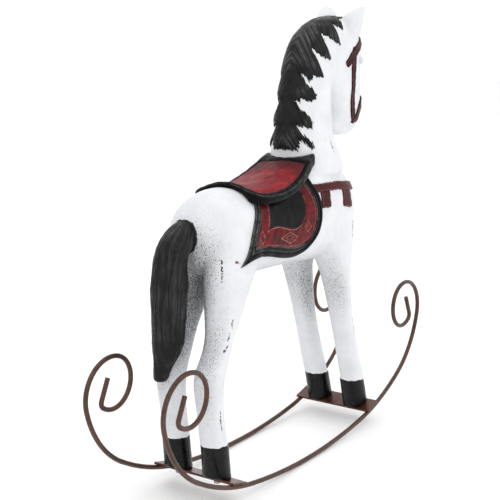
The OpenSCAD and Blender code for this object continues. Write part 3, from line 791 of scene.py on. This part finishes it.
def red_h(d, p):
    panel = outline_dist(p[:, 0], p[:, 2], PANEL)
    h = 1.0 + 0.08 * wave(p[:, 0], p[:, 2], 5, 7)
    w = border_width(p)
    line = np.minimum(np.abs(d - w - 0.65), np.abs(panel + 0.3))
    for q in DIAMONDS:
        c = np.mean(q, 0)
        for k in (1.0, 0.5):
            r = line_dist(p[:, [0, 2]], [c + (np.array(v) - c) * k for v in q + q[:1]])
            line = np.minimum(line, r + (0 if k == 1 else 0.12))
    h -= 0.35 * np.exp(-(line / 0.42) ** 2)
    h = np.where((d > w - 0.5) & (panel < 0.4), h, -0.4)
    return h, {"line": line}


def panel_h(d, p):
    b = outline_dist(p[:, 0], p[:, 2], FLAP)
    h = -0.2 + 1.75 * step(0, 0.8, d) + 0.15 * bell(d, 1.0, 0.5)
    h += 0.06 * wave(p[:, 0], p[:, 2], 8, 9)
    edge = bell(d, 0.25, 0.3)
    inside = (b > border_width(p) - 0.4) & (d > -0.2)
    return np.where(inside, h, -0.4), {"chip": np.full(len(d), FAR), "line": edge}


for s, side in SIDES:
    for node, poly, height, level, mat, slot in (
            ("flap_border", FLAP, border_h, 2, M_SADDLE_BLACK, "saddle_black"),
            ("flap_red", FLAP, red_h, 2, M_FLAP_RED, "flap_red"),
            ("flap_panel", PANEL, panel_h, 1, M_SADDLE_BLACK, "saddle_black")):
        relief(f"{node}_{side}_carved", poly, height, level, side_of(s), mat, slot, [f"{node}_{side}"])


# straps: flat bands with rounded, slightly raised edges, left out where another outline lies over them
def band(t, away=()):
    def f(d, p):
        d = d + 0.25 * wave(p[:, 0], p[:, 2], 11, 6)
        h = -0.3 + (t + 0.3) * step(0, 0.8, d) + 0.12 * bell(d, 0.9, 0.4)
        h = np.where(d < 0, d * 0.8 - 0.3, h)
        for a in away:
            h = np.where(outline_dist(p[:, 0], p[:, 2], a) > 0.3, -0.5, h)
        return h, {"line": np.abs(d - 0.9)}
    return f


STRAP = [[4, 194.6], [20, 194.2], [34, 193.7], [50, 192.5], [62, 190.6], [78, 187.8], [95, 186],
         [95, 179.6], [78, 181.4], [62, 184], [48, 186.2], [34, 187.4], [20, 188], [4, 188.4]]
TAB_MID = [[17.2, 192], [29.4, 192], [28.8, 176.2], [16.8, 177.2]]
TAB_FRONT = [[47.6, 190], [60.4, 188], [60.8, 171.6], [47, 174.6]]
NOT_NECK = lambda p, n: (p[:, 2] < 205)
relief("breast_strap_carved", STRAP, band(1.2, [FLAP]), 2, NOT_NECK, M_STRAP, "strap_red", ["breast_strap"])
for s, side in SIDES:
    for node, poly in (("strap_tab_mid", TAB_MID), ("strap_tab_front", TAB_FRONT)):
        relief(f"{node}_{side}_carved", poly, band(1.0, [STRAP]), 2, side_of(s), M_STRAP, "strap_red",
               [f"{node}_{side}"])

BROW = curve([[71.8, 274.6], [72.8, 271.6], [76.3, 271.3], [85.3, 278.6], [96, 285.4], [114, 291.8],
    [114, 297], [94, 290.2], [80, 282.8], [73, 276.4]], 3)
CHEEK = curve([[79, 282], [80.2, 262], [82, 246], [87, 230], [92.2, 232], [87.4, 247], [85.8, 262],
    [84.6, 284]], 3)
NOSE = curve([[87.2, 231.4], [89.6, 228.6], [95.6, 231.2], [100.4, 237.6], [114, 246], [114, 252.6],
    [99, 245.4], [94.6, 238.6], [91.4, 235.2]], 3)
HEAD_ONLY = lambda p, n: (p[:, 0] > 63) & (p[:, 2] > 218)
relief("browband_carved", BROW, band(1.2), 2, HEAD_ONLY, M_BRIDLE, "bridle_red", ["browband"])
relief("noseband_carved", NOSE, band(1.2), 2, HEAD_ONLY, M_BRIDLE, "bridle_red", ["noseband"])
for s, side in SIDES:
    relief(f"cheek_strap_{side}_carved", CHEEK, band(0.95, [BROW, NOSE]), 2,
           lambda p, n, s=s: HEAD_ONLY(p, n) & (p[:, 1] * s > 1), M_BRIDLE, "bridle_red",
           [f"cheek_strap_{side}"])

# mane: locks that run down and forward from the crest
# under this height, and on the ears, no mane grows
MANE_FOOT, EAR_X, FORELOCK_HW, CREST_Z = 214.8, 70, 5.5, 306
MANE = [[4, 214], [10, 217], [12.4, 216], [13.4, 220.5], [14.6, 223.2], [16.6, 219.4], [19.4, 216.8],
    [21.2, 218.4], [20.3, 222.2], [15.6, 228], [13.6, 232.8], [17, 232.2], [21.6, 230.6], [23.6, 235.4],
    [22, 239.4], [16.4, 244.6], [14.2, 250.4], [16, 249], [17, 251.4], [20, 250.2], [24.2, 249.2],
    [27.4, 250.8], [30.4, 253.6], [22.2, 262], [19.4, 268.4], [22.6, 265.4], [24.6, 262.8], [26.8, 264.8],
    [28.4, 267], [32.2, 265.4], [39.4, 265.2], [33.4, 276.2], [30.6, 284.4], [37, 280], [41.4, 278.2],
    [51.4, 276.4], [43.8, 287.4], [42.4, 294.6], [47.6, 292.6], [57, 288.8], [66, 286.4], [61.4, 293.4],
    [58.6, 300.6], [64, 299], [70, 296.8], [70.6, 302], [80, 304], [82, 314], [40, 316], [0, 290],
    [-6, 250]]


def strands(q, along, seed):
    """rounded ridges 0..1 across q, each strand with its own height"""
    q = q + 0.9 * wave(along * 0.6, q, seed, 14)
    a = 0.5 + 0.5 * np.cos(TURN * q / 4.6 + 1.2 * wave(q, along * 0.3, seed + 2, 11))
    b = 0.5 + 0.5 * np.cos(TURN * q / 1.75 + 1.5 * wave(q, along * 0.3, seed + 1, 8))
    c = 0.5 + 0.5 * np.cos(TURN * q / 0.83 + 1.5 * wave(q, along * 0.4, seed + 3, 6))
    return 0.38 * a + 0.38 * b + 0.24 * c


def mane_h(d, p):
    q = 0.79 * p[:, 0] + 0.61 * p[:, 2] + 0.95 * np.abs(p[:, 1]) - 0.004 * (p[:, 2] - 255) * p[:, 0]
    along = 0.61 * p[:, 0] - 0.79 * p[:, 2] + 0.3 * np.abs(p[:, 1])
    r = strands(q, along, 21)
    crest = step(7, 3, np.abs(p[:, 1])) * step(0, 0.6, d)
    tip = d + (1.9 * (r - 0.38) + 0.2 * wave(q * 3, along, 24, 6)) * (1 - crest) + 1.2 * crest
    body = step(-0.1, 1.6, tip)
    h = -0.3 + body * (1.1 + 1.1 * step(0.5, 5, d)) + (r - 0.5) * 0.9 * body
    h = np.minimum(np.where(tip < -0.1, -0.3 + (tip + 0.1) * 0.6, h), 1.9)
    return h, {"ridge": r * body, "strand": q, "chip": np.full(len(d), FAR)}


def mane_region(p, n):
    forelock = (np.abs(p[:, 1]) < FORELOCK_HW) & (p[:, 2] < CREST_Z)
    return (p[:, 2] > MANE_FOOT) & ((p[:, 0] < EAR_X) | forelock)


relief("mane_carved", MANE, mane_h, 2, mane_region, M_MANE, "hair_black", ["mane"], margin=2.4)


# ---------------------------------- tail with long grooves
def tail():
    o = tail_src
    o.name = "tail_carved"
    m = o.modifiers.new("s", "SUBSURF")
    m.levels = m.render_levels = 1
    baked(o)
    co, no = coords(o.data), normals(o.data)
    # the tail's middle line, as height and place along the horse
    z_mid = [82, 94, 125, 146, 159, 169, 175.5, 183]
    x_mid = [-117, -116, -114.5, -114.2, -112.8, -109.8, -105.8, -99.8]
    cx = np.interp(co[:, 2], z_mid, x_mid)
    ang = np.arctan2(co[:, 1] - 2.5, -(co[:, 0] - cx))
    q = ang * 12 + 1.5 * np.sin(co[:, 2] / 26.0) + 0.6 * wave(co[:, 2] * 0.35, ang * 9, 31, 9)
    a = 0.5 + 0.5 * np.cos(TURN * q / 5.2 + 1.3 * wave(co[:, 2] * 0.25, q, 35, 9))
    b = 0.5 + 0.5 * np.cos(TURN * q / 2.1 + 1.6 * wave(co[:, 2] * 0.3, q, 33, 7))
    c = 0.5 + 0.5 * np.cos(TURN * q / 1.15 + 1.6 * wave(co[:, 2] * 0.3, q, 36, 5))
    r = 0.45 * a + 0.35 * b + 0.2 * c
    side = np.clip(1 - np.abs(no[:, 2]) * 0.6, 0, 1)
    co = co + no * ((r - 0.8) * 0.8 * side + 0.25 * wave(co[:, 2] * 0.5, q * 0.5, 37, 14))[:, None]
    set_coords(o.data, co)
    put(o.data, "ridge", r)
    put(o.data, "strand", q)
    chips = ([(-121, -8, 92), (-120, -8, 86)], [(-118, -9.5, 96), (-118, -9, 89)])
    put(o.data, "chip", np.minimum(*[line_dist(co, run) for run in chips]))
    paint(o, M_HAIR, "hair_black")
    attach(o, "root")
    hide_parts("tail")


tail()


# ---------------------------------- saddle: one carved form, its rolled rim black, its seat red
SEAT = [[-62.5, 0], [-62.6, 10], [-63, 19], [-61.5, 23.6], [-56, 27], [-48, 28.4], [-36, 28.8], [-20, 28],
        [-6, 26], [6, 23], [14, 20.6], [19.4, 19.4], [17, 13], [15.2, 6], [14.6, 0]]
PLAN = curve(SEAT + [[x, -y] for x, y in SEAT[-2:0:-1]], 3)


def saddle():
    o = remesh(joined("saddle_rim_carved", ["saddle_seat", "saddle_rim"]), 0.6)
    me = o.data
    smooth(me, 10)
    set_coords(me, spread(coords(me), edges_of(me), 22, (0.5,)))
    co, no = coords(me), normals(me)
    d = outline_dist(co[:, 0], co[:, 1], PLAN)
    inner = np.minimum(d - 3.5, 7.5 - co[:, 0])
    up = np.clip(no[:, 2], 0, 1) * (co[:, 2] > 190)
    lift = 0.35 - up * (0.75 * step(-0.4, 1.0, inner) - 0.25 * np.exp(-((inner + 2) / 1.4) ** 2))
    co = co + no * (lift + 0.12 * wave(co[:, 0], co[:, 1], 41, 8) - 0.05)[:, None]
    co[:, 2] += 0.9 * step(0.3, -0.3, no[:, 2]) * step(6, 4, d) + 0.9 * up * step(8.5, 12.5, co[:, 0])
    set_coords(me, co)
    put(me, "chip", np.full(len(co), FAR))
    # painted highlight on the rim: a pale line where its outer edge turns up towards the light, and on the
    # up-facing top of its front band
    lit = np.exp(-((no[:, 2] - 0.55) / 0.14) ** 2) * step(3, 1.5, d)
    put(me, "line", np.clip(0.5 * lit + 0.3 * step(0.6, 0.95, up) * step(8, 12, co[:, 0]), 0, 1))
    paint(o, M_SADDLE_BLACK, "saddle_black")
    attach(o, "root")
    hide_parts("saddle_rim")

    def seat_h(d, p):
        i = np.minimum(d - 3.7, 7.0 - p[:, 0]) + 0.3 * wave(p[:, 0], p[:, 1], 44, 9)
        h = -0.3 + 0.66 * step(-0.4, 0.4, i)
        # painted shade: darker at the seat's front, a little near its back, and along the inside of the rim
        front = step(-12, 4, p[:, 0] + 3 * wave(p[:, 0], p[:, 1], 42, 12))
        shade = np.maximum(front, 0.3 * step(-48, -58, p[:, 0]))
        shade = np.maximum(shade * 0.75, 0.75 * step(2.6, 0.2, i))
        return np.where(i < -0.6, -0.4, h), {"shade": shade}

    relief("saddle_seat_carved", PLAN, seat_h, 2, lambda p, n: n[:, 2] > 0.1, M_SEAT, "saddle_red",
           ["saddle_seat"], base=o, up=1)


saddle()

# ---------------------------------- CAD nodes that stay
bpy.data.objects.remove(skin)
NODE_PAINT = (("rocker_rod", M_ROD), ("weld", M_ROD), ("cross_plate", M_PLATE), ("hoof_screw", M_STEEL),
              ("eye", M_EYE), ("dowel", M_WOOD))
for n, o in NODES.items():
    m = next((paint_of for start, paint_of in NODE_PAINT if n.startswith(start)), M_WHITE)
    if not len(o.data.materials):
        o.data.materials.append(m)
    for k in range(len(o.data.materials)):
        o.data.materials[k] = m


# ---------------------------------- floor, light and camera
def floor():
    r = 4000
    co = [(-r, -r, 0), (r, -r, 0), (r, r, 0), (-r, r, 0)]
    o = new_object("studio_floor", co, [[0, 1, 2, 3]])
    m = Mat("studio_floor", 0.7, 0.2)
    m.color(m.ramp(m.noise(3, 2), (0.3, lin(250, 250, 250)), (0.7, lin(252, 252, 252))))
    m.rough(m.ease(m.noise(40, 2), 0.3, 0.7, 0.6, 0.75))
    o.data.materials.append(m.m)


floor()


def area(name, loc, at, size, power):
    l = bpy.data.lights.new(name, "AREA")
    l.shape, l.size, l.energy = "SQUARE", size, power
    o = bpy.data.objects.new(name, l)
    SC.collection.objects.link(o)
    o.location = loc
    o.rotation_mode = "QUATERNION"
    o.rotation_quaternion = (Vector(at) - Vector(loc)).to_track_quat("-Z", "Y")


area("key", (-1.0, -1.1, 1.35), (0, 0, 0.14), 1.1, 5)
area("fill", (0.9, -1.4, 0.7), (0, 0, 0.14), 1.4, 2.2)
area("top", (0.1, 0.1, 1.8), (0, 0, 0.1), 1.6, 4)
area("back", (0.8, 1.1, 0.9), (0, 0, 0.15), 1.2, 2)


def world():
    w = bpy.data.worlds.new("studio")
    SC.world = w
    w.use_nodes = True
    back = w.node_tree.nodes["Background"].inputs
    back["Color"].default_value = (1, 1, 1, 1)
    back["Strength"].default_value = 1.04
    SC.view_settings.view_transform = "Standard"


def camera():
    place, target, roll = Vector((-674.45, -434.59, 316.8)), Vector((-31.76, 0, 153.19)), 0.178
    cam = bpy.data.cameras.new("camera")
    cam.lens, cam.sensor_width = 84.8, 36
    cam.clip_start, cam.clip_end = 0.01, 100
    o = bpy.data.objects.new("camera", cam)
    SC.collection.objects.link(o)
    o.location = place * MM
    aim = target * MM - o.location
    o.rotation_mode = "QUATERNION"
    spin = Matrix.Rotation(math.radians(roll), 3, "Z").to_quaternion()
    o.rotation_quaternion = aim.to_track_quat("-Z", "Y") @ spin
    SC.camera = o


world()
camera()

bpy.context.view_layer.update()
